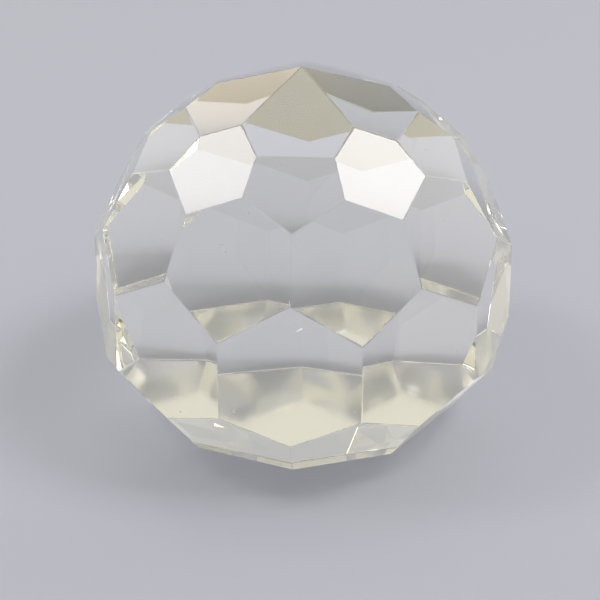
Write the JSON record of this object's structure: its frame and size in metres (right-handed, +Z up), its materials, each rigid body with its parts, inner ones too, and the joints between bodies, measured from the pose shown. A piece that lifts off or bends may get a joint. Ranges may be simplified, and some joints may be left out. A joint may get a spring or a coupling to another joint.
{
  "type": "paperweight",
  "caption": "Clear cut-crystal paperweight: a faceted glass ball that stands on a flat base and holds sheets of paper down.",
  "frame": {"origin": "centre of the flat resting face", "axes": "+Z up through the point of the crown; -Y to the front, where the middle of one crown facet faces"},
  "size_m": [0.063, 0.0604, 0.0521],
  "materials": {
    "clear_crystal": "polished"
  },
  "bodies": {
    "root": {"crystal_body": "clear_crystal"}
  },
  "joints": []
}
